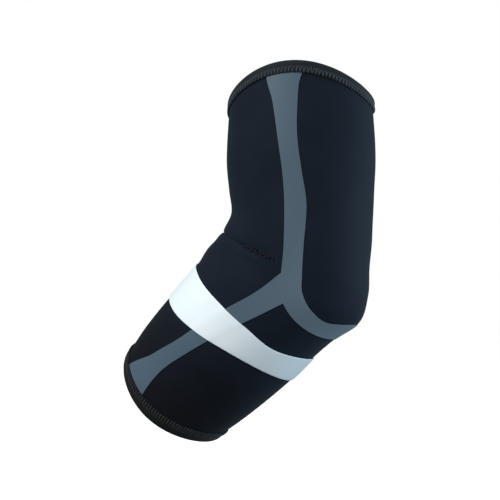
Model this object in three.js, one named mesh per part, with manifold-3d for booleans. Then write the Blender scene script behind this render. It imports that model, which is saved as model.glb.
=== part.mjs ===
// Pull-on elbow brace: a bent sleeve of neoprene, open at both ends, with a folded binding round
// each hem, a grey tension tape bonded to both sides and round the back of the elbow, and a silver
// band round the forearm.
// Millimetres, +Z up. The sleeve bends in the XZ plane, its crook faces -X and it is the same on
// both sides of y = 0. The origin is the elbow's centre, where the axis of the upper half (+Z)
// meets the axis of the forearm half.

import * as THREE from "three";
import { mergeVertices } from "three/addons/utils/BufferGeometryUtils.js";
import Module from "manifold-3d";

// How long the sleeve is and how bent
const upperArmLength = 110; // elbow centre to the upper hem, at the front and back
const forearmLength = 128; // elbow centre to the lower hem, at the front and back
const elbowFold = THREE.MathUtils.degToRad(45); // how far the forearm is bent from straight
const bendRadius = 60; // of the sleeve's axis through the elbow

// Widths from front to back, outside the neoprene
const upperArmWidth = 101;
const elbowWidth = 108;
const forearmWidth = 102;
const lowerHemWidth = 89;

// Neoprene
const neoprene = 3; // wall thickness
const upperHemRise = 14; // how much longer the sides are cut than the front and back
const upperHemSkew = 0.15; // share of that rise by which its peak leans toward the back
const lowerHemRise = 8.5;
const hemEase = 0.5; // share of each half, from the elbow, over which its rings stay level
const dartDepth = 1.6; // groove of the dart sewn into the crook
const dartWidth = 7;
const dartFall = 5.5; // how much lower the dart lies at the side than at the front

// Hem bindings
const bindingLeg = 6.5; // how far the folded binding reaches over the neoprene
const bindingThickness = 0.9;

// Bonded and sewn-on strips
const tapeThickness = 0.5;
const bandThickness = 1.2;

const seatGap = 0.3; // between neighbouring pieces

// How finely the curved walls are divided
const segmentsAround = 36;
const ringPitch = 8;
const tapeSteps = 6; // from one row of a tape's table to the next
const bandSteps = 18; // along each edge of the silver band
const weldDistance = 1e-4; // vertices this near each other are one

// The sleeve's sections. at: place along the arm, 1 at the upper hem, 0 at the elbow, -1 at the
// lower hem; turn: how far the section leans, as a share of the fold; front and back: reach from
// the sleeve's axis as shares of width; side: reach to each side as a share of width.
const sections = [
  { at: 1.0, turn: 0.02, width: upperArmWidth, front: 0.485, back: 0.505, side: 0.445 },
  { at: 0.64, turn: 0.05, width: upperArmWidth, front: 0.502, back: 0.515, side: 0.465 },
  { at: 0.42, turn: 0.1, width: upperArmWidth, front: 0.485, back: 0.5, side: 0.46 },
  { at: 0.25, turn: 0.24, width: upperArmWidth, front: 0.475, back: 0.49, side: 0.455 },
  { at: 0.1, turn: 0.4, width: elbowWidth, front: 0.48, back: 0.465, side: 0.425 },
  { at: -0.03, turn: 0.52, width: elbowWidth, front: 0.505, back: 0.515, side: 0.42 },
  { at: -0.15, turn: 0.6, width: elbowWidth, front: 0.525, back: 0.55, side: 0.42 },
  { at: -0.27, turn: 0.68, width: forearmWidth, front: 0.525, back: 0.53, side: 0.45 },
  { at: -0.4, turn: 0.75, width: forearmWidth, front: 0.505, back: 0.505, side: 0.45 },
  { at: -0.6, turn: 0.75, width: forearmWidth, front: 0.5, back: 0.5, side: 0.445 },
  { at: -0.8, turn: 0.81, width: lowerHemWidth, front: 0.55, back: 0.535, side: 0.48 },
  { at: -1.0, turn: 1.01, width: lowerHemWidth, front: 0.5, back: 0.46, side: 0.47 },
];

// The dart. at: its place at the front; fromFront: how far round it ends, in degrees; fade: over
// how many of them it fades out; reach: how far along the sleeve it pulls the rings down.
const dart = { at: 0.015, fromFront: 88, fade: 20, reach: 0.2 };

// Tape down the side of the upper arm and under the elbow, in side view. across: -1 at the front
// edge, 1 at the back edge.
const armTape = [
  { at: 1.08, across: 0.05, width: 32 },
  { at: 0.92, across: 0.02, width: 22.5 },
  { at: 0.82, across: 0.04, width: 16.5 },
  { at: 0.66, across: 0.07, width: 12.5 },
  { at: 0.475, across: 0.125, width: 12 },
  { at: 0.295, across: 0.165, width: 13.5 },
  { at: 0.1, across: 0.185, width: 12 },
  { at: -0.03, across: 0.255, width: 12.5 },
  { at: -0.15, across: 0.35, width: 13 },
  { at: -0.215, across: 0.575, width: 12 },
  { at: -0.24, across: 0.835, width: 10.5 },
  { at: -0.22, across: 1.0, width: 10.5 },
  { at: -0.17, across: 1.2, width: 13 },
];

// Tape from the elbow to the lower hem
const forearmTape = [
  { at: -0.105, across: 0.28, width: 17 },
  { at: -0.265, across: 0.18, width: 13.5 },
  { at: -0.48, across: -0.02, width: 12.5 },
  { at: -0.645, across: -0.155, width: 11 },
  { at: -0.745, across: -0.255, width: 12 },
  { at: -0.815, across: -0.31, width: 14.5 },
  { at: -0.92, across: -0.385, width: 22.5 },
  { at: -1.05, across: -0.43, width: 31 },
];

// Silver band: where its upper and lower edges cross the side. It all lies below bandShellTop.
const bandShellTop = -0.1;
const bandEdges = [
  { across: -1.2, upper: -0.26, lower: -0.52 },
  { across: -0.6, upper: -0.34, lower: -0.558 },
  { across: -0.1, upper: -0.378, lower: -0.56 },
  { across: 0.3, upper: -0.402, lower: -0.552 },
  { across: 0.7, upper: -0.424, lower: -0.55 },
  { across: 1.2, upper: -0.37, lower: -0.556 },
];

const { Manifold, Mesh } = await loadSolids();

async function loadSolids() {
  const wasm = await Module();
  wasm.setup();
  return wasm;
}

// Smooth value of one column of a table whose rows are ordered by key
function column(table, key, name, value) {
  const rows = table[0][key] < table.at(-1)[key] ? table : [...table].reverse();
  const last = rows.length - 1;
  if (value <= rows[0][key]) return rows[0][name];
  if (value >= rows[last][key]) return rows[last][name];
  const i = rows.findIndex((row) => row[key] > value) - 1;
  const slope = (j) => {
    const before = rows[Math.max(j - 1, 0)];
    const after = rows[Math.min(j + 1, last)];
    return (after[name] - before[name]) / (after[key] - before[key]);
  };
  const span = rows[i + 1][key] - rows[i][key];
  const t = (value - rows[i][key]) / span;
  const ends = rows[i][name] * (1 + 2 * t) * (1 - t) ** 2 + rows[i + 1][name] * (3 - 2 * t) * t ** 2;
  return ends + span * (slope(i) * t * (1 - t) ** 2 - slope(i + 1) * (1 - t) * t ** 2);
}

// Reaches of the section, in millimetres, and its lean
const reaches = sections.map((row) => ({
  at: row.at,
  turn: row.turn * elbowFold,
  front: row.front * row.width,
  back: row.back * row.width,
  side: row.side * row.width,
}));

const along = (at) => at * (at > 0 ? upperArmLength : forearmLength);

// Point and direction of the sleeve's axis at a distance from the elbow
function axisAt(distance) {
  const tangent = bendRadius * Math.tan(elbowFold / 2);
  const bent = THREE.MathUtils.clamp((tangent - distance) / (2 * tangent), 0, 1) * elbowFold;
  const point = new THREE.Vector2(-bendRadius, tangent);
  point.x += bendRadius * Math.cos(bent);
  point.y -= bendRadius * Math.sin(bent);
  const straight = distance - THREE.MathUtils.clamp(distance, -tangent, tangent);
  const up = new THREE.Vector2(Math.sin(bent), Math.cos(bent));
  return { point: point.addScaledVector(up, straight), up };
}

// Section at a place along the sleeve: its centre and its directions in the XZ plane, its reaches
function sectionAt(at) {
  const { point, up } = axisAt(along(at));
  const [turn, front, back, side] = ["turn", "front", "back", "side"].map((name) =>
    column(reaches, "at", name, at),
  );
  const toBack = new THREE.Vector2(Math.cos(turn), -Math.sin(turn));
  return { centre: point, up, toBack, front, back, side };
}

const smooth = THREE.MathUtils.smoothstep;

// How far a ring stands off its section at this angle, up the sleeve
function ringShift(at, angle) {
  const skew = 1 - upperHemSkew * Math.cos(angle);
  const upperRise = upperHemRise * skew * smooth(at, hemEase, 1);
  const lowerRise = lowerHemRise * smooth(-at, hemEase, 1);
  const fall = dartFall * (1 - smooth(Math.abs(at - dart.at), 0, dart.reach));
  return (upperRise - lowerRise - fall) * Math.sin(angle) ** 2;
}

// Depth of the dart's groove
function grooveDepth(at, angle) {
  const away = Math.abs(along(at) - along(dart.at)) / (dartWidth / 2);
  const fromFront = THREE.MathUtils.radToDeg(Math.acos(Math.cos(angle)));
  const sewn = 1 - smooth(fromFront, dart.fromFront - dart.fade, dart.fromFront);
  return dartDepth * sewn * Math.max(0, 1 - away ** 2);
}

// Point on the sleeve. angle: 0 at the front, a quarter turn on the -Y side, half a turn at the
// back; proud: how far it stands outside the neoprene.
function skinPoint(at, angle, proud = 0) {
  const { centre, up, toBack, front, back, side } = sectionAt(at);
  const out = proud - grooveDepth(at, angle);
  const forward = Math.cos(angle);
  const reach = -forward * ((forward > 0 ? front : back) + out);
  const shift = ringShift(at, angle);
  return new THREE.Vector3(
    centre.x + toBack.x * reach + up.x * shift,
    -Math.sin(angle) * (side + out),
    centre.y + toBack.y * reach + up.y * shift,
  );
}

// Place in side view, along the nearest of the two sides
function sidePoint(at, across) {
  const { centre, up, toBack, front, back } = sectionAt(at);
  const reach = across * (across < 0 ? front : back);
  const shift = ringShift(at, Math.acos(THREE.MathUtils.clamp(across, -1, 1)));
  return centre.clone().addScaledVector(toBack, reach).addScaledVector(up, shift);
}

// Closed body swept round the sleeve: outline(angle) gives its points, in order, at that angle
function sweptRound(outline) {
  const positions = [];
  const index = [];
  const loops = Array.from({ length: segmentsAround }, (_, i) => outline((2 * Math.PI * i) / segmentsAround));
  const count = loops[0].length;
  loops.forEach((loop) => loop.forEach((point) => positions.push(...point)));
  for (let i = 0; i < segmentsAround; i++) {
    for (let j = 0; j < count; j++) {
      const here = i * count + j;
      const next = i * count + ((j + 1) % count);
      const turned = ((i + 1) % segmentsAround) * count;
      index.push(here, next, turned + j, next, turned + ((j + 1) % count), turned + j);
    }
  }
  return new THREE.BufferGeometry()
    .setAttribute("position", new THREE.BufferAttribute(new Float32Array(positions), 3))
    .setIndex(index);
}

// Places of the rings between two places along the sleeve
function ringPlaces(from, to) {
  const length = Math.abs(along(from) - along(to));
  const steps = Math.max(1, Math.round(length / ringPitch));
  return Array.from({ length: steps + 1 }, (_, i) => from + ((to - from) * i) / steps);
}

const upperEdge = 1 - bindingLeg / upperArmLength; // where the bindings' legs end
const lowerEdge = -1 + bindingLeg / forearmLength;
const dartPlaces = [-0.5, 0, 0.5].map((share) => dart.at + (share * dartWidth) / forearmLength);

const sleevePlaces = [
  1,
  ...ringPlaces(upperEdge, dartPlaces[2]),
  dartPlaces[1],
  ...ringPlaces(dartPlaces[0], lowerEdge),
  -1,
];

// Wall that follows the sleeve between two distances outside the neoprene
function wall(places, inner, outer) {
  return sweptRound((angle) => [
    ...places.map((at) => skinPoint(at, angle, outer)),
    ...[...places].reverse().map((at) => skinPoint(at, angle, inner)),
  ]);
}

function toSolid(geometry) {
  const bare = geometry.clone();
  for (const name of Object.keys(bare.attributes)) {
    if (name !== "position") bare.deleteAttribute(name);
  }
  const merged = mergeVertices(bare, weldDistance);
  return new Manifold(
    new Mesh({
      numProp: 3,
      vertProperties: merged.attributes.position.array,
      triVerts: new Uint32Array(merged.index.array),
    }),
  );
}

function toGeometry(solid) {
  const { vertProperties, triVerts } = solid.getMesh();
  return new THREE.BufferGeometry()
    .setAttribute("position", new THREE.BufferAttribute(new Float32Array(vertProperties), 3))
    .setIndex(new THREE.BufferAttribute(new Uint32Array(triVerts), 1));
}

// Prism right through the brace from side to side, over an outline in the XZ plane
function sidePrism(outline) {
  const depth = 2 * upperArmWidth;
  const prism = new THREE.ExtrudeGeometry(new THREE.Shape(outline), { depth, bevelEnabled: false });
  return toSolid(prism.rotateX(Math.PI / 2).translate(0, depth / 2, 0));
}

// Outline of a ribbon from its table, grown by a margin on each side
function ribbon(table, margin = 0) {
  const middle = new THREE.SplineCurve(table.map((row) => sidePoint(row.at, row.across)));
  const widths = new THREE.SplineCurve(table.map((row, i) => new THREE.Vector2(i, row.width)));
  const steps = tapeSteps * (table.length - 1);
  const left = [];
  const right = [];
  for (let i = 0; i <= steps; i++) {
    const t = i / steps;
    const width = widths.getPoint(t).y;
    const heading = middle.getTangent(t);
    const out = new THREE.Vector2(heading.y, -heading.x).multiplyScalar(width / 2 + margin);
    left.push(middle.getPoint(t).sub(out));
    right.push(middle.getPoint(t).add(out));
  }
  return [...left, ...right.reverse()];
}

function bandOutline() {
  const edge = (name) =>
    new THREE.SplineCurve(bandEdges.map((row) => sidePoint(row[name], row.across))).getPoints(bandSteps);
  return [...edge("upper"), ...edge("lower").reverse()];
}

// Folded binding: a channel over the raw edge, its two legs lying on the neoprene
function binding(end, legEnd) {
  const beyond = (distance) => end + (Math.sign(end) * distance) / Math.abs(along(end));
  const outer = seatGap + bindingThickness;
  const inner = -neoprene - outer;
  const lining = -neoprene - seatGap;
  const chamfer = bindingThickness;
  const channel = [
    [legEnd, seatGap],
    [legEnd, outer],
    [beyond(outer - chamfer), outer],
    [beyond(outer), outer - chamfer],
    [beyond(outer), inner + chamfer],
    [beyond(outer - chamfer), inner],
    [legEnd, inner],
    [legEnd, lining],
    [beyond(seatGap), lining],
    [beyond(seatGap), seatGap],
  ];
  const profile = end > 0 ? channel.reverse() : channel;
  return sweptRound((angle) => profile.map(([at, proud]) => skinPoint(at, angle, proud)));
}

// Both strips of tape, cut from a thin wall over the sleeve
function tensionTape() {
  const places = [
    upperEdge - seatGap / upperArmLength,
    ...sleevePlaces.filter((at) => at < upperEdge && at > lowerEdge),
    lowerEdge + seatGap / forearmLength,
  ];
  const skin = toSolid(wall(places, seatGap, seatGap + tapeThickness));
  return skin.intersect(sidePrism(ribbon(armTape)).add(sidePrism(ribbon(forearmTape))));
}

// The band, cut from a thin wall, with a channel beneath it for the tape
function silverBand() {
  const places = sleevePlaces.filter((at) => at < bandShellTop && at > lowerEdge);
  const overTape = seatGap + tapeThickness + seatGap;
  const skin = toSolid(wall(places, seatGap, seatGap + bandThickness));
  const channel = toSolid(wall(places, 0, overTape)).intersect(sidePrism(ribbon(forearmTape, seatGap)));
  return skin.intersect(sidePrism(bandOutline())).subtract(channel);
}

const finishes = {
  neoprene: { color: 0x19212c, roughness: 0.85, metalness: 0 },
  binding: { color: 0x20262d, roughness: 0.9, metalness: 0 },
  tape: { color: 0x4d6070, roughness: 0.7, metalness: 0 },
  silver: { color: 0xc9d6dc, roughness: 0.45, metalness: 0.2 },
};

function piece(name, geometry, finish) {
  const mesh = new THREE.Mesh(geometry, new THREE.MeshStandardMaterial(finishes[finish]));
  mesh.name = name;
  return mesh;
}

const brace = new THREE.Group();
brace.name = "elbow_brace";
brace.add(
  piece("sleeve", wall(sleevePlaces, -neoprene, 0), "neoprene"),
  piece("upper_binding", binding(1, upperEdge), "binding"),
  piece("lower_binding", binding(-1, lowerEdge), "binding"),
  piece("tension_tape", toGeometry(tensionTape()), "tape"),
  piece("silver_band", toGeometry(silverBand()), "silver"),
);

export default brace;
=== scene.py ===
# Pull-on elbow brace, worn bent: neoprene sleeve, bound hems, bonded tension tape, silver band.
# Shapes are worked out in millimetres, +Z up the upper arm, and each finished mesh is then put
# into metres.
import bpy
import bmesh
import math
from functools import lru_cache
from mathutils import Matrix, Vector, noise


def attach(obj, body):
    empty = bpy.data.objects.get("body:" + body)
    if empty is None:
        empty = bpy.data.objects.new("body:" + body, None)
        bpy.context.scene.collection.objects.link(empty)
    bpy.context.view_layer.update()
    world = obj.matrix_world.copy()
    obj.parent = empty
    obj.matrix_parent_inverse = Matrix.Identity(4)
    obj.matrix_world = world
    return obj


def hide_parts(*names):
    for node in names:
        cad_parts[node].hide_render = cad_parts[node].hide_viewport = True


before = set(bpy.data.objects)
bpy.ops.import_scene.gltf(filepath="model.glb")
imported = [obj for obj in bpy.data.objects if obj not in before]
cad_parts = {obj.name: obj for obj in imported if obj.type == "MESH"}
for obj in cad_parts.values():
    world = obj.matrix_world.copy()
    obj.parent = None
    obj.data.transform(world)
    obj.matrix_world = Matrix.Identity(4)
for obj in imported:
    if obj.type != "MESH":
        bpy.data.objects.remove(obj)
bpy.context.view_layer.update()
metre = 1000.0

# The arm that the sleeve is shaped for. Lengths run from the elbow's centre to each hem.
arm = {
    "upperArmLength": 110,
    "forearmLength": 128,
    "fold": math.radians(45),
    "bendRadius": 60,
    "upperArmWidth": 101,
    "elbowWidth": 108,
    "forearmWidth": 102,
    "lowerHemWidth": 89,
}

# at: 1 at the upper hem, 0 at the elbow, -1 at the lower hem. turn: lean of the section, as a
# share of the fold. front, back, side: reach from the arm's axis, as shares of the width.
sections = [
    dict(at=1.0, turn=0.02, width="upperArmWidth", front=0.485, back=0.505, side=0.445),
    dict(at=0.64, turn=0.05, width="upperArmWidth", front=0.502, back=0.515, side=0.465),
    dict(at=0.42, turn=0.1, width="upperArmWidth", front=0.485, back=0.5, side=0.46),
    dict(at=0.25, turn=0.24, width="upperArmWidth", front=0.475, back=0.49, side=0.455),
    dict(at=0.1, turn=0.4, width="elbowWidth", front=0.48, back=0.465, side=0.425),
    dict(at=-0.03, turn=0.52, width="elbowWidth", front=0.505, back=0.515, side=0.42),
    dict(at=-0.15, turn=0.6, width="elbowWidth", front=0.525, back=0.55, side=0.42),
    dict(at=-0.27, turn=0.68, width="forearmWidth", front=0.525, back=0.53, side=0.45),
    dict(at=-0.4, turn=0.75, width="forearmWidth", front=0.505, back=0.505, side=0.45),
    dict(at=-0.6, turn=0.75, width="forearmWidth", front=0.5, back=0.5, side=0.445),
    dict(at=-0.8, turn=0.81, width="lowerHemWidth", front=0.55, back=0.535, side=0.48),
    dict(at=-1.0, turn=1.01, width="lowerHemWidth", front=0.5, back=0.46, side=0.47),
]

# The sleeve itself, and the dart sewn into its crook
sleeveCut = {
    "neoprene": 3,
    "upperHemRise": 14,
    "upperHemSkew": 0.15,
    "lowerHemRise": 8.5,
    "hemEase": 0.5,
    "dartAt": 0.015,
    "dartFall": 5.5,
    "dartReach": 0.2,
    "dartEnd": 90,  # degrees round from the front
    "dartFade": 14,
    "dartDepth": 0.5,
    "dartWidth": 6,
    "creaseDepth": 0.8,  # of the seam itself, at the bottom of the dart
    "creaseWidth": 1.6,
    "creaseRings": 40,  # extra rings of the mesh across the crease
    "pucker": 0.4,  # how far the foam swells beside the dart
    "slackness": 0.35,  # height of the soft unevenness all over
    "slackSpan": 34,
    "roundSteps": 180,
    "longSteps": 176,
}


def clamp(value, low=0.0, high=1.0):
    return max(low, min(high, value))


def ease(value, start, end):
    t = clamp((value - start) / (end - start))
    return t * t * (3 - 2 * t)


def column(table, key, name, value):
    rows = table if table[0][key] < table[-1][key] else table[::-1]
    if value <= rows[0][key]:
        return rows[0][name]
    if value >= rows[-1][key]:
        return rows[-1][name]
    i = next(n for n, row in enumerate(rows) if row[key] > value) - 1

    def slope(j):
        before, after = rows[max(j - 1, 0)], rows[min(j + 1, len(rows) - 1)]
        return (after[name] - before[name]) / (after[key] - before[key])

    span = rows[i + 1][key] - rows[i][key]
    t = (value - rows[i][key]) / span
    ends = rows[i][name] * (1 + 2 * t) * (1 - t) ** 2 + rows[i + 1][name] * (3 - 2 * t) * t ** 2
    return ends + span * (slope(i) * t * (1 - t) ** 2 - slope(i + 1) * (1 - t) * t ** 2)


reaches = [
    dict(at=row["at"], turn=row["turn"] * arm["fold"],
         **{name: row[name] * arm[row["width"]] for name in ("front", "back", "side")})
    for row in sections
]


def along(at):
    return at * (arm["upperArmLength"] if at > 0 else arm["forearmLength"])


# Centre of a section, the arm's direction there, and the section's direction from front to back
@lru_cache(maxsize=None)
def sectionAt(at):
    distance = along(at)
    tangent = arm["bendRadius"] * math.tan(arm["fold"] / 2)
    bent = clamp((tangent - distance) / (2 * tangent)) * arm["fold"]
    up = Vector((math.sin(bent), math.cos(bent)))
    centre = Vector((arm["bendRadius"] * (math.cos(bent) - 1), tangent - arm["bendRadius"] * math.sin(bent)))
    centre += up * (distance - clamp(distance, -tangent, tangent))
    turn, front, back, side = (column(reaches, "at", name, at) for name in ("turn", "front", "back", "side"))
    return centre, up, Vector((math.cos(turn), -math.sin(turn))), front, back, side


# How far a ring stands off its section, up the arm: the hems' cut and the fall of the dart
def ringShift(at, angle):
    skew = 1 - sleeveCut["upperHemSkew"] * math.cos(angle)
    upperRise = sleeveCut["upperHemRise"] * skew * ease(at, sleeveCut["hemEase"], 1)
    lowerRise = sleeveCut["lowerHemRise"] * ease(-at, sleeveCut["hemEase"], 1)
    fall = sleeveCut["dartFall"] * (1 - ease(abs(at - sleeveCut["dartAt"]), 0, sleeveCut["dartReach"]))
    return (upperRise - lowerRise - fall) * math.sin(angle) ** 2


# Relief of the cloth: the dart's groove, the swelling beside it and a soft unevenness
def relief(at, angle):
    fromDart = along(at) - along(sleeveCut["dartAt"])
    fromFront = math.degrees(math.acos(math.cos(angle)))
    reach = 1 - ease(fromFront, sleeveCut["dartEnd"] - sleeveCut["dartFade"], sleeveCut["dartEnd"])
    groove = sleeveCut["dartDepth"] * math.exp(-(2 * fromDart / sleeveCut["dartWidth"]) ** 2)
    groove += sleeveCut["creaseDepth"] * math.exp(-(2 * fromDart / sleeveCut["creaseWidth"]) ** 2)
    swell = math.exp(-((abs(fromDart) - sleeveCut["dartWidth"]) / 4) ** 2)
    swell *= 1 - 0.5 * ease(fromDart, -2, 2)
    place = Vector((math.cos(angle) * 50, math.sin(angle) * 50, along(at))) / sleeveCut["slackSpan"]
    soft = sleeveCut["slackness"] * noise.noise(place) * (1 - ease(abs(at), 0.85, 0.97))
    return soft + reach * (sleeveCut["pucker"] * swell - groove)


# Point on the sleeve. angle: 0 at the front, a quarter turn on the -Y side, half a turn at the back
def sleevePoint(at, angle, proud=0.0):
    centre, up, toBack, front, back, side = sectionAt(at)
    out = proud + relief(at, angle)
    forward = math.cos(angle)
    place = centre - toBack * forward * ((front if forward > 0 else back) + out)
    place += up * ringShift(at, angle)
    return Vector((place.x, -math.sin(angle) * (side + out), place.y))


# Place in side view. across: -1 at the front edge, 1 at the back edge
def sidePoint(at, across):
    centre, up, toBack, front, back, side = sectionAt(at)
    place = centre + toBack * across * (front if across < 0 else back)
    return place + up * ringShift(at, math.acos(clamp(across, -1, 1)))


# Mesh helpers

# A grid of faces bent into shape by place(u, v), with doubles merged where it closes on itself
def shapedGrid(place, uSteps, vSteps):
    bm = bmesh.new()
    bm.loops.layers.uv.new("weave")
    bmesh.ops.create_grid(bm, x_segments=uSteps, y_segments=vSteps, size=0.5, calc_uvs=True)
    for vert in bm.verts:
        vert.co = place(vert.co.x + 0.5, vert.co.y + 0.5)
    bmesh.ops.remove_doubles(bm, verts=bm.verts, dist=1e-4)
    bmesh.ops.recalc_face_normals(bm, faces=bm.faces)
    return bm


# Turns the finished bmesh into an object, in metres, at the origin
def finished(name, bm, *materials, sharpAngle=40):
    bmesh.ops.scale(bm, vec=Vector((1, 1, 1)) / metre, verts=bm.verts)
    mesh = bpy.data.meshes.new(name)
    for face in bm.faces:
        face.smooth = True
    bm.to_mesh(mesh)
    bm.free()
    mesh.set_sharp_from_angle(angle=math.radians(sharpAngle))
    obj = bpy.data.objects.new(name, mesh)
    bpy.context.scene.collection.objects.link(obj)
    for material in materials:
        mesh.materials.append(material)
    return obj


# The object's mesh with its modifiers applied
def applied(obj):
    bpy.context.view_layer.update()
    mesh = bpy.data.meshes.new_from_object(obj.evaluated_get(bpy.context.evaluated_depsgraph_get()))
    obj.modifiers.clear()
    obj.data = mesh
    return obj


def combined(obj, other, operation):
    step = obj.modifiers.new(operation.title(), "BOOLEAN")
    step.operation = operation
    step.solver = "EXACT"
    step.object = other
    applied(obj)
    bpy.data.objects.remove(other)
    return obj


# Materials

def linear(hexColour):
    channels = [int(hexColour[i:i + 2], 16) / 255 for i in (1, 3, 5)]
    return [c / 12.92 if c <= 0.04045 else ((c + 0.055) / 1.055) ** 2.4 for c in channels] + [1]


# Adds a node with its settings and links. Inputs are set by name or number: another node's
# output links to them, and anything else is their value.
def addNode(tree, kind, settings=None, **inputs):
    node = tree.nodes.new("ShaderNode" + kind)
    for name, value in (settings or {}).items():
        setattr(node, name, value)
    for name, value in inputs.items():
        key = int(name[1:]) if name[0] == "i" and name[1:].isdigit() else name.replace("_", " ")
        if isinstance(value, bpy.types.NodeSocket):
            tree.links.new(value, node.inputs[key])
        else:
            node.inputs[key].default_value = value
    return node


def newMaterial(name, colour, roughness, **sockets):
    material = bpy.data.materials.new(name)
    material.use_nodes = True
    tree = material.node_tree
    surface = tree.nodes["Principled BSDF"]
    surface.inputs["Base Color"].default_value = linear(colour)
    surface.inputs["Roughness"].default_value = roughness
    for socket, value in sockets.items():
        surface.inputs[socket.replace("_", " ")].default_value = value
    return material, tree, surface


# Colour that passes from one to the other along a straight line in object space, in metres
# Every use of it here paints light or shade into a colour.
def paintedLightAndShade(tree, fromColour, toColour, fromPlace, toPlace):
    start, span = Vector(fromPlace), Vector(toPlace) - Vector(fromPlace)
    place = addNode(tree, "TexCoord").outputs["Object"]
    away = addNode(tree, "VectorMath", {"operation": "SUBTRACT"}, i0=place, i1=start)
    share = addNode(tree, "VectorMath", {"operation": "DOT_PRODUCT"}, i0=away.outputs[0],
                    i1=span / span.length_squared)
    smooth = addNode(tree, "MapRange", {"interpolation_type": "SMOOTHSTEP"}, i0=share.outputs["Value"])
    mix = addNode(tree, "Mix", {"data_type": "RGBA"}, Factor=smooth.outputs[0], i6=fromColour, i7=toColour)
    return mix.outputs[2]


# Neoprene foam faced with knitted nylon jersey: a dark, dry surface whose fibres catch light at
# grazing angles. The knit's wales are 0.6 mm apart, drawn 1.4 mm apart so that they show.
def jerseyFaced(name, colour, paintedShadeEndColour, sheenColour, sheen):
    material, tree, surface = newMaterial(name, colour, 0.72, Specular_IOR_Level=0.05, Sheen_Weight=sheen,
                                          Sheen_Roughness=0.45, Sheen_Tint=linear(sheenColour))
    wale, course = 1.4, 1.1
    roundLength, longLength = 300, 240
    weave = addNode(tree, "TexCoord").outputs["UV"]
    scaled = addNode(tree, "Mapping", Vector=weave, Scale=(roundLength / wale, longLength / course, 1))
    ribs = addNode(tree, "TexWave", {"wave_type": "BANDS", "bands_direction": "X"},
                   Vector=scaled.outputs[0], Scale=0.314, Distortion=1.2, Detail=1, Detail_Scale=2)
    fuzz = addNode(tree, "TexNoise", Vector=addNode(tree, "TexCoord").outputs["Object"], Scale=900, Detail=3)
    height = addNode(tree, "Math", {"operation": "ADD"}, i0=ribs.outputs["Fac"], i1=fuzz.outputs["Fac"])
    bump = addNode(tree, "Bump", Height=height.outputs[0], Strength=0.25, Distance=0.0002)
    tree.links.new(bump.outputs[0], surface.inputs["Normal"])
    # Painted shade makes the colour blacker toward the forearm's end, and lint mottles it over a few centimetres
    dyeAndPaintedShade = paintedLightAndShade(tree, linear(colour), linear(paintedShadeEndColour), (-0.02, 0, -0.03), (-0.09, 0, -0.1))
    lint = addNode(tree, "TexNoise", Vector=addNode(tree, "TexCoord").outputs["Object"], Scale=45, Detail=4)
    mottle = addNode(tree, "MapRange", i0=lint.outputs["Fac"], i3=0.75, i4=1.3)
    mixed = addNode(tree, "VectorMath", {"operation": "SCALE"}, i0=dyeAndPaintedShade, Scale=mottle.outputs[0])
    tree.links.new(mixed.outputs[0], surface.inputs["Base Color"])
    return material


# Knitted polyester binding: a fine rib runs along the tape. Real ribs are 0.7 mm apart.
def knittedBinding():
    material, tree, surface = newMaterial("knitted polyester binding", "#151b21", 0.8, Specular_IOR_Level=0.2,
                                          Sheen_Weight=0.06, Sheen_Tint=linear("#9fb4c4"))
    # Painted shade: the colour darkens toward the lower hem.
    dyeAndPaintedShade = paintedLightAndShade(tree, linear("#141c23"), linear("#080a0c"), (0, 0, 0.05), (-0.08, 0, -0.09))
    tree.links.new(dyeAndPaintedShade, surface.inputs["Base Color"])
    place = addNode(tree, "TexCoord").outputs["UV"]
    ribs = addNode(tree, "Mapping", Vector=place, Scale=(300 / 1.1, 22, 1))
    wave = addNode(tree, "TexWave", {"wave_type": "BANDS", "bands_direction": "DIAGONAL"},
                   Vector=ribs.outputs[0], Scale=0.314, Distortion=0.8)
    bump = addNode(tree, "Bump", Height=wave.outputs["Fac"], Strength=0.4, Distance=0.0002)
    tree.links.new(bump.outputs[0], surface.inputs["Normal"])
    return material


# Spun polyester thread, two-ply: matte, with a soft glint along its top
def spunThread(name, colour, paintedShadeLowerColour, glint):
    material, tree, surface = newMaterial(name, colour, 0.65, Specular_IOR_Level=glint, Sheen_Weight=glint / 2)
    # Painted shade: the thread is drawn darker at the lower hem
    dyeAndPaintedShade = paintedLightAndShade(tree, linear(colour), linear(paintedShadeLowerColour), (0, 0, 0.05), (-0.08, 0, -0.09))
    tree.links.new(dyeAndPaintedShade, surface.inputs["Base Color"])
    return material


# Heat-bonded polyurethane film on stretch jersey: an even slate grey with a dull satin face
def bondedFilm():
    material, tree, surface = newMaterial("bonded polyurethane film", "#495c6b", 0.55, Specular_IOR_Level=0.25)
    # Painted light: the film is drawn paler over the tip of the elbow
    paintedLightOverElbow = paintedLightAndShade(tree, linear("#475a69"), linear("#586c7b"), (-0.01, 0, 0.0), (0.03, 0, -0.03))
    tree.links.new(paintedLightOverElbow, surface.inputs["Base Color"])
    grain = addNode(tree, "TexNoise", Vector=addNode(tree, "TexCoord").outputs["Object"], Scale=1100, Detail=2)
    bump = addNode(tree, "Bump", Height=grain.outputs["Fac"], Strength=0.12, Distance=0.0001)
    tree.links.new(bump.outputs[0], surface.inputs["Normal"])
    return material


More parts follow.
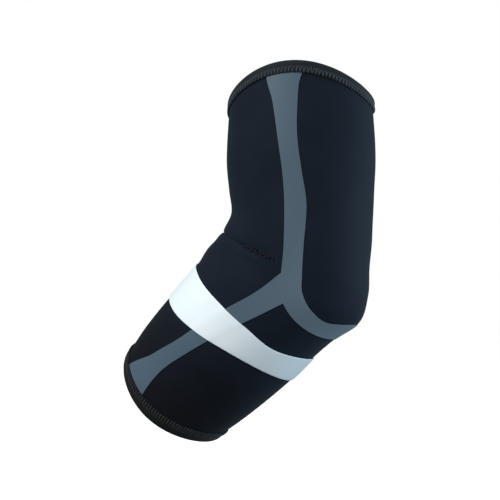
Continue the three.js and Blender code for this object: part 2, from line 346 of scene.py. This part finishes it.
# Woven elastic with a pearl-silver coating: fine cross ribs 1 mm apart under a satin sheen
def silverElastic():
    material, tree, surface = newMaterial("coated silver elastic", "#d0dfe7", 0.45, Specular_IOR_Level=0.35)
    # Painted light and shade: the coating is drawn paler toward the key light's side and greyer toward the outer
    # side of the forearm
    coatingAndPaintedLight = paintedLightAndShade(tree, linear("#e6f2f7"), linear("#b0c2cc"), (-0.06, 0, -0.035), (0.02, 0, -0.085))
    tree.links.new(coatingAndPaintedLight, surface.inputs["Base Color"])
    place = addNode(tree, "TexCoord").outputs["UV"]
    ribs = addNode(tree, "Mapping", Vector=place, Scale=(300 / 1.0, 30, 1))
    wave = addNode(tree, "TexWave", {"wave_type": "BANDS", "bands_direction": "X"},
                   Vector=ribs.outputs[0], Scale=0.314)
    bump = addNode(tree, "Bump", Height=wave.outputs["Fac"], Strength=0.1, Distance=0.0001)
    tree.links.new(bump.outputs[0], surface.inputs["Normal"])
    return material


# Each second colour is painted shade, reached toward the forearm's end.
faceJersey = jerseyFaced("nylon jersey on neoprene", "#141c26", "#101218", "#7fa0b8", 0.06)
liningJersey = jerseyFaced("loop lining on neoprene", "#14171b", "#0f1114", "#8a949c", 0.03)
bindingKnit = knittedBinding()
# The second colour is painted shade at the lower hem.
hemThread = spunThread("grey overlock thread", "#363e44", "#202327", 0.25)
dartThread = spunThread("dark overlock thread", "#1c1a26", "#1c1a26", 0.08)
tapeFilm = bondedFilm()
bandCloth = silverElastic()
print("materials made")


# Sleeve

def makeSleeve():
    even = [2 * i / sleeveCut["longSteps"] - 1 for i in range(sleeveCut["longSteps"] + 1)]
    zone = 1.5 * sleeveCut["creaseWidth"] / arm["forearmLength"]
    extra = [sleeveCut["dartAt"] + zone * (2 * (i + 0.5) / sleeveCut["creaseRings"] - 1)
             for i in range(sleeveCut["creaseRings"])]
    rings = sorted(even + extra)

    def place(u, v):
        return sleevePoint(rings[round(v * (len(rings) - 1))], 2 * math.pi * u)

    sleeve = finished("neopreneSleeve", shapedGrid(place, sleeveCut["roundSteps"], len(rings) - 1),
                      faceJersey, liningJersey)
    wall = sleeve.modifiers.new("Wall", "SOLIDIFY")
    wall.thickness = sleeveCut["neoprene"] / metre
    wall.offset = -1
    wall.use_even_offset = True
    wall.material_offset = 1
    wall.material_offset_rim = 1
    return applied(sleeve)


sleeve = makeSleeve()
print("sleeve shaped")

# Bindings folded over both raw edges
hemBinding = {
    "leg": 6.5,  # how far it reaches over the neoprene
    "thickness": 0.9,
    "slack": 0.1,
    "overEdge": 1.2,  # how far it stands out past the raw edge
    "rollSwell": 0.45,  # the rolled edge is fuller than the stitched part
    "roundSteps": 240,
}


# Point over the sleeve near a hem, at a distance beyond its raw edge
def hemPoint(end, beyond, angle, height):
    return sleevePoint(end * (1 + beyond / abs(along(end))), angle, height)


# Closed outline of the folded tape: (distance beyond the raw edge, height over the neoprene)
def bindingOutline():
    wall = sleeveCut["neoprene"] / 2
    inside = wall + hemBinding["slack"]
    outside = inside + hemBinding["thickness"]
    leg = hemBinding["leg"]

    def fold(radius, tip, steps, swell):
        rows = []
        straight = tip - radius
        for i in range(5):
            share = i / 5
            rows.append((-leg + share * (leg + straight), radius + swell * ease(share, 0.2, 1)))
        for i in range(steps + 1):
            turn = math.pi / 2 - math.pi * i / steps
            out = abs(math.cos(turn)) ** 0.7
            side = math.copysign(abs(math.sin(turn)) ** 0.7, math.sin(turn))
            rows.append((straight + radius * out, side * (radius + swell)))
        for i in range(5):
            share = 1 - (i + 1) / 5
            rows.append((-leg + share * (leg + straight), -radius - swell * ease(share, 0.2, 1)))
        return rows

    outer = fold(outside, hemBinding["overEdge"], 12, hemBinding["rollSwell"])
    inner = fold(inside, hemBinding["overEdge"] - hemBinding["thickness"], 8, 0)
    cap = -leg - 0.2
    middle = (inside + outside) / 2
    rows = outer + [(cap, -middle)] + inner[::-1] + [(cap, middle)]
    return [(beyond, height - wall) for beyond, height in rows]


def makeBinding(name, end):
    rows = bindingOutline()

    def place(u, v):
        beyond, height = rows[round(v * len(rows)) % len(rows)]
        return hemPoint(end, beyond, 2 * math.pi * u, height)

    return finished(name, shapedGrid(place, hemBinding["roundSteps"], len(rows)), bindingKnit, sharpAngle=60)


upperBinding = makeBinding("upperHemBinding", 1.0)
lowerBinding = makeBinding("lowerHemBinding", -1.0)
print("bindings folded")

# Tension tape, in side view
tape = {"thickness": 0.35, "seat": 0.03, "roundSteps": 132, "longSteps": 170}
armStrip = [
    dict(at=1.08, across=0.05, width=32),
    dict(at=0.92, across=0.02, width=22.5),
    dict(at=0.82, across=0.04, width=16.5),
    dict(at=0.66, across=0.07, width=12.5),
    dict(at=0.475, across=0.125, width=12),
    dict(at=0.295, across=0.165, width=13.5),
    dict(at=0.1, across=0.185, width=12),
    dict(at=-0.03, across=0.255, width=12.5),
    dict(at=-0.15, across=0.35, width=13),
    dict(at=-0.215, across=0.575, width=12),
    dict(at=-0.24, across=0.835, width=10.5),
    dict(at=-0.22, across=1.0, width=10.5),
    dict(at=-0.17, across=1.2, width=13),
]
forearmStrip = [
    dict(at=-0.105, across=0.28, width=17),
    dict(at=-0.265, across=0.18, width=13.5),
    dict(at=-0.48, across=-0.02, width=12.5),
    dict(at=-0.645, across=-0.155, width=11),
    dict(at=-0.745, across=-0.255, width=12),
    dict(at=-0.815, across=-0.31, width=14.5),
    dict(at=-0.92, across=-0.385, width=22.5),
    dict(at=-1.05, across=-0.43, width=31),
]


# Middle line of a strip, a smooth curve through its rows: (point, direction, width) at each step
def stripLine(table, steps=14):
    knots = [Vector((*sidePoint(row["at"], row["across"]), row["width"])) for row in table]
    line = []
    for i in range(len(table) - 1):
        a, b = knots[max(i - 1, 0)], knots[i]
        c, d = knots[i + 1], knots[min(i + 2, len(knots) - 1)]
        straight, bend, twist = c - a, 2 * a - 5 * b + 4 * c - d, 3 * b - a - 3 * c + d
        for n in range(steps + (i == len(table) - 2)):
            t = n / steps
            place = b + (straight * t + bend * t ** 2 + twist * t ** 3) / 2
            heading = straight + 2 * bend * t + 3 * twist * t ** 2
            line.append((place.xy, heading.xy.normalized(), place.z))
    return line


# Prism right through the brace from side to side, over the strip's outline
def stripPrism(table):
    depth = 2 * arm["upperArmWidth"]
    left, right = [], []
    for point, heading, width in stripLine(table):
        out = Vector((heading.y, -heading.x)) * width / 2
        left.append(point - out)
        right.append(point + out)
    bm = bmesh.new()
    outline = bm.faces.new([bm.verts.new((p.x, -depth / 2, p.y)) for p in left + right[::-1]])
    swept = bmesh.ops.extrude_face_region(bm, geom=[outline])["geom"]
    bmesh.ops.translate(bm, vec=(0, depth, 0), verts=[v for v in swept if isinstance(v, bmesh.types.BMVert)])
    bmesh.ops.recalc_face_normals(bm, faces=bm.faces)
    return finished("stripPrism", bm)


def makeTape():
    # A shell over the side and back of the sleeve, between the bindings' legs
    margin = hemBinding["leg"] + 0.4
    top = 1 - margin / arm["upperArmLength"]
    bottom = -1 + margin / arm["forearmLength"]
    start, end = math.radians(48), math.radians(312)

    def place(u, v):
        return sleevePoint(bottom + v * (top - bottom), start + u * (end - start), tape["seat"])

    bm = shapedGrid(place, tape["roundSteps"], tape["longSteps"])
    shell = finished("tensionTape", bm, tapeFilm)
    wall = shell.modifiers.new("Thickness", "SOLIDIFY")
    wall.thickness = tape["thickness"] / metre
    wall.offset = 1
    applied(shell)
    strips = combined(stripPrism(armStrip), stripPrism(forearmStrip), "UNION")
    tapePiece = combined(shell, strips, "INTERSECT")
    tapePiece.data.set_sharp_from_angle(angle=math.radians(40))
    return tapePiece


tensionTape = makeTape()
print("tape bonded", len(tensionTape.data.polygons))

# Silver band round the forearm, over the tape
band = {"thickness": 0.95, "seat": 0.05, "crown": 0.25, "roundSteps": 200, "outlineSteps": 36}
bandEdges = [
    dict(across=-1.2, upper=-0.26, lower=-0.52),
    dict(across=-0.6, upper=-0.34, lower=-0.558),
    dict(across=-0.1, upper=-0.378, lower=-0.56),
    dict(across=0.3, upper=-0.402, lower=-0.552),
    dict(across=0.7, upper=-0.424, lower=-0.55),
    dict(across=1.2, upper=-0.37, lower=-0.556),
]
forearmLine = stripLine(forearmStrip)


# 1 over the forearm strip, fading to 0 beside it
def overTape(at, across):
    place = sidePoint(at, across)
    distance, width = min(((place - point).length, width) for point, heading, width in forearmLine)
    return 1 - ease(distance, width / 2, width / 2 + 2.5)


def makeBand():
    def place(u, v):
        angle = 2 * math.pi * u
        turn = 2 * math.pi * v
        across = -math.cos(angle)
        upper = column(bandEdges, "across", "upper", across)
        lower = column(bandEdges, "across", "lower", across)
        # Outline: a flat strip with rounded edges
        x = math.copysign(abs(math.cos(turn)) ** 0.35, math.cos(turn))
        y = math.copysign(abs(math.sin(turn)) ** 0.5, math.sin(turn))
        at = (upper + lower) / 2 + x * (upper - lower) / 2
        lift = (tape["seat"] + tape["thickness"]) * overTape(at, across)
        height = band["seat"] + lift + band["thickness"] * (1 + y) / 2
        height += band["crown"] * max(0, y) * (1 - x * x)
        return sleevePoint(at, angle, height)

    return finished("silverBand", shapedGrid(place, band["roundSteps"], band["outlineSteps"]), bandCloth,
                    sharpAngle=60)


silverBand = makeBand()
print("band put on")

# Threads. Real thread is 0.3 mm thick and is drawn thicker so that the stitches show.
stitching = {
    "hemThread": 0.22,
    "hemPitch": 2.2,
    "hemUnevenness": 0.25,
    "dartThread": 0.45,
    "dartPitch": 3.0,
    "dartStart": 65,  # degrees round from the front
    "dartSpan": 1.9,  # height of a stitch to each side of the seam
    "dartUnevenness": 0.9,  # it is whipped over by hand
}


# A thread laid through points on the cloth, made a mesh
def makeThread(name, points, radius, material, closed=False):
    curve = bpy.data.curves.new(name, "CURVE")
    curve.dimensions = "3D"
    curve.bevel_depth = radius / metre
    curve.bevel_resolution = 1
    curve.use_fill_caps = not closed
    curve.resolution_u = 3
    spline = curve.splines.new("NURBS")
    spline.points.add(len(points) - 1)
    for knot, point in zip(spline.points, points):
        knot.co = (*(point / metre), 1)
    spline.use_cyclic_u = closed
    spline.use_endpoint_u = not closed
    spline.order_u = 3
    lay = bpy.data.objects.new(name, curve)
    bpy.context.scene.collection.objects.link(lay)
    bpy.context.view_layer.update()
    mesh = bpy.data.meshes.new_from_object(lay.evaluated_get(bpy.context.evaluated_depsgraph_get()))
    bpy.data.objects.remove(lay)
    thread = bpy.data.objects.new(name, mesh)
    bpy.context.scene.collection.objects.link(thread)
    mesh.materials.clear()
    mesh.materials.append(material)
    mesh.shade_smooth()
    return thread


# Overlock stitches: the thread steps between the cloth and the middle of the binding's leg
def makeHemStitches(name, end):
    count = round(300 / stitching["hemPitch"])
    overLeg = hemBinding["slack"] + hemBinding["thickness"] + stitching["hemThread"]
    # A plump stitch over the leg's end, then a slanting loop sunk into the knit of the binding
    loop = (
        dict(beyond=-0.5, height=0.1, shift=0.0),
        dict(beyond=0.3, height=overLeg, shift=0.1),
        dict(beyond=1.6, height=overLeg + 0.15, shift=0.25),
        dict(beyond=2.4, height=overLeg - 0.1, shift=0.45),
        dict(beyond=4.8, height=overLeg - 0.2, shift=1.1),
        dict(beyond=5.0, height=overLeg - 0.2, shift=1.3),
        dict(beyond=2.4, height=overLeg - 0.1, shift=1.0),
        dict(beyond=0.3, height=overLeg, shift=0.95),
    )
    points = []
    for i in range(count):
        for row in loop:
            stray = stitching["hemUnevenness"] * noise.noise_vector(Vector((i * 0.7, end, row["shift"] * 0.5)))
            angle = 2 * math.pi * (i + row["shift"] + stray.x) / count
            beyond = row["beyond"] + stray.y - hemBinding["leg"]
            points.append(hemPoint(end, beyond, angle, row["height"] + 0.3 * stray.z))
    return makeThread(name, points, stitching["hemThread"], hemThread, closed=True)


upperStitches = makeHemStitches("upperHemStitches", 1.0)
lowerStitches = makeHemStitches("lowerHemStitches", -1.0)


# Each end of the dart is whipped over with a thread that crosses the seam to and fro
def makeDartStitches(name, side):
    start, end = math.radians(stitching["dartStart"]), math.radians(sleeveCut["dartEnd"])
    length = (end - start) * arm["elbowWidth"] / 2
    count = round(length / stitching["dartPitch"])
    points = []
    for i in range(2 * count + 1):
        stray = stitching["dartUnevenness"] * noise.noise_vector(Vector((i * 1.7, side, 0)))
        angle = start + (end - start) * (i + stray.x) / (2 * count)
        step = stitching["dartSpan"] * (1 + stray.y) * (1 if i % 2 else -1)
        for share, height in ((0.3, 0.5), (1, 0.45)):
            at = sleeveCut["dartAt"] + (step * share + stray.z) / arm["forearmLength"]
            points.append(sleevePoint(at, side * angle, height))
    return makeThread(name, points, stitching["dartThread"], dartThread)


nearDart = makeDartStitches("nearDartStitches", 1)
farDart = makeDartStitches("farDartStitches", -1)
print("stitches sewn")

for piece in (sleeve, upperBinding, lowerBinding, tensionTape, silverBand, upperStitches, lowerStitches,
              nearDart, farDart):
    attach(piece, "root")
for piece, node, slot in ((sleeve, "sleeve", "neoprene"), (upperBinding, "upper_binding", "binding"),
                          (lowerBinding, "lower_binding", "binding"), (tensionTape, "tension_tape", "tension_tape"),
                          (silverBand, "silver_band", "silver_band")):
    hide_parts(node)

# Studio: a pale floor well below the brace, soft light from the left and front
studio = {
    "floorHeight": -0.3,
    "floorColour": "#fbfbfb",
    "worldLight": 0.3,
    "azimuth": 18,
    "elevation": -7,
    "distance": 0.45,
    "target": (-0.036, 0, 0.010),
    "sensor": 36,
    "picture": 500,
    "metrePerPixel": 0.0007,
}


def makeFloor():
    bm = bmesh.new()
    bmesh.ops.create_circle(bm, cap_ends=True, segments=96, radius=20)
    bmesh.ops.translate(bm, vec=(0, 0, studio["floorHeight"]), verts=bm.verts)
    mesh = bpy.data.meshes.new("floor")
    bm.to_mesh(mesh)
    bm.free()
    floor = bpy.data.objects.new("floor", mesh)
    bpy.context.scene.collection.objects.link(floor)
    # Lit through from beneath like a light table, so it stays as pale as the wall behind it
    paint, tree, surface = newMaterial("white light table", studio["floorColour"], 0.9, Specular_IOR_Level=0,
                                       Emission_Color=linear(studio["floorColour"]), Emission_Strength=0.75)
    mesh.materials.append(paint)
    # The floor is only a backdrop: it throws no light back up, so the underside stays dark
    floor.visible_diffuse = False
    floor.visible_glossy = False


def makeLight(name, place, size, power, colour="#ffffff"):
    data = bpy.data.lights.new(name, "AREA")
    data.shape = "DISK"
    data.size = size
    data.energy = power
    data.color = linear(colour)[:3]
    lamp = bpy.data.objects.new(name, data)
    lamp.location = place
    lamp.rotation_euler = (-Vector(place)).to_track_quat("-Z", "Y").to_euler()
    bpy.context.scene.collection.objects.link(lamp)


def makeWorld():
    world = bpy.data.worlds.new("white studio")
    bpy.context.scene.world = world
    world.use_nodes = True
    tree = world.node_tree
    background = tree.nodes["Background"]
    background.inputs["Color"].default_value = (1, 1, 1, 1)
    seen = addNode(tree, "LightPath").outputs["Is Camera Ray"]
    strength = addNode(tree, "Mix", {"data_type": "FLOAT"}, i0=seen, i2=studio["worldLight"], i3=1.0)
    tree.links.new(strength.outputs[0], background.inputs["Strength"])


def makeCamera():
    turn, lift = math.radians(studio["azimuth"]), math.radians(studio["elevation"])
    toCamera = Vector((math.sin(turn) * math.cos(lift), -math.cos(turn) * math.cos(lift), math.sin(lift)))
    data = bpy.data.cameras.new("camera")
    data.sensor_width = studio["sensor"]
    data.lens = studio["sensor"] * studio["distance"] / studio["metrePerPixel"] / studio["picture"]
    data.clip_start = 0.01
    camera = bpy.data.objects.new("camera", data)
    camera.location = Vector(studio["target"]) + toCamera * studio["distance"]
    camera.rotation_euler = (-toCamera).to_track_quat("-Z", "Y").to_euler()
    bpy.context.scene.collection.objects.link(camera)
    bpy.context.scene.camera = camera


makeFloor()
makeLight("key", (-0.8, -1.0, 1.3), 1.0, 27)
makeLight("fill", (0.4, -1.2, -0.35), 1.0, 9)
makeLight("rim", (0.8, 0.25, 0.05), 0.5, 9.5, "#c6dcea")
makeWorld()
makeCamera()
bpy.context.scene.view_settings.view_transform = "Standard"
print("studio ready")
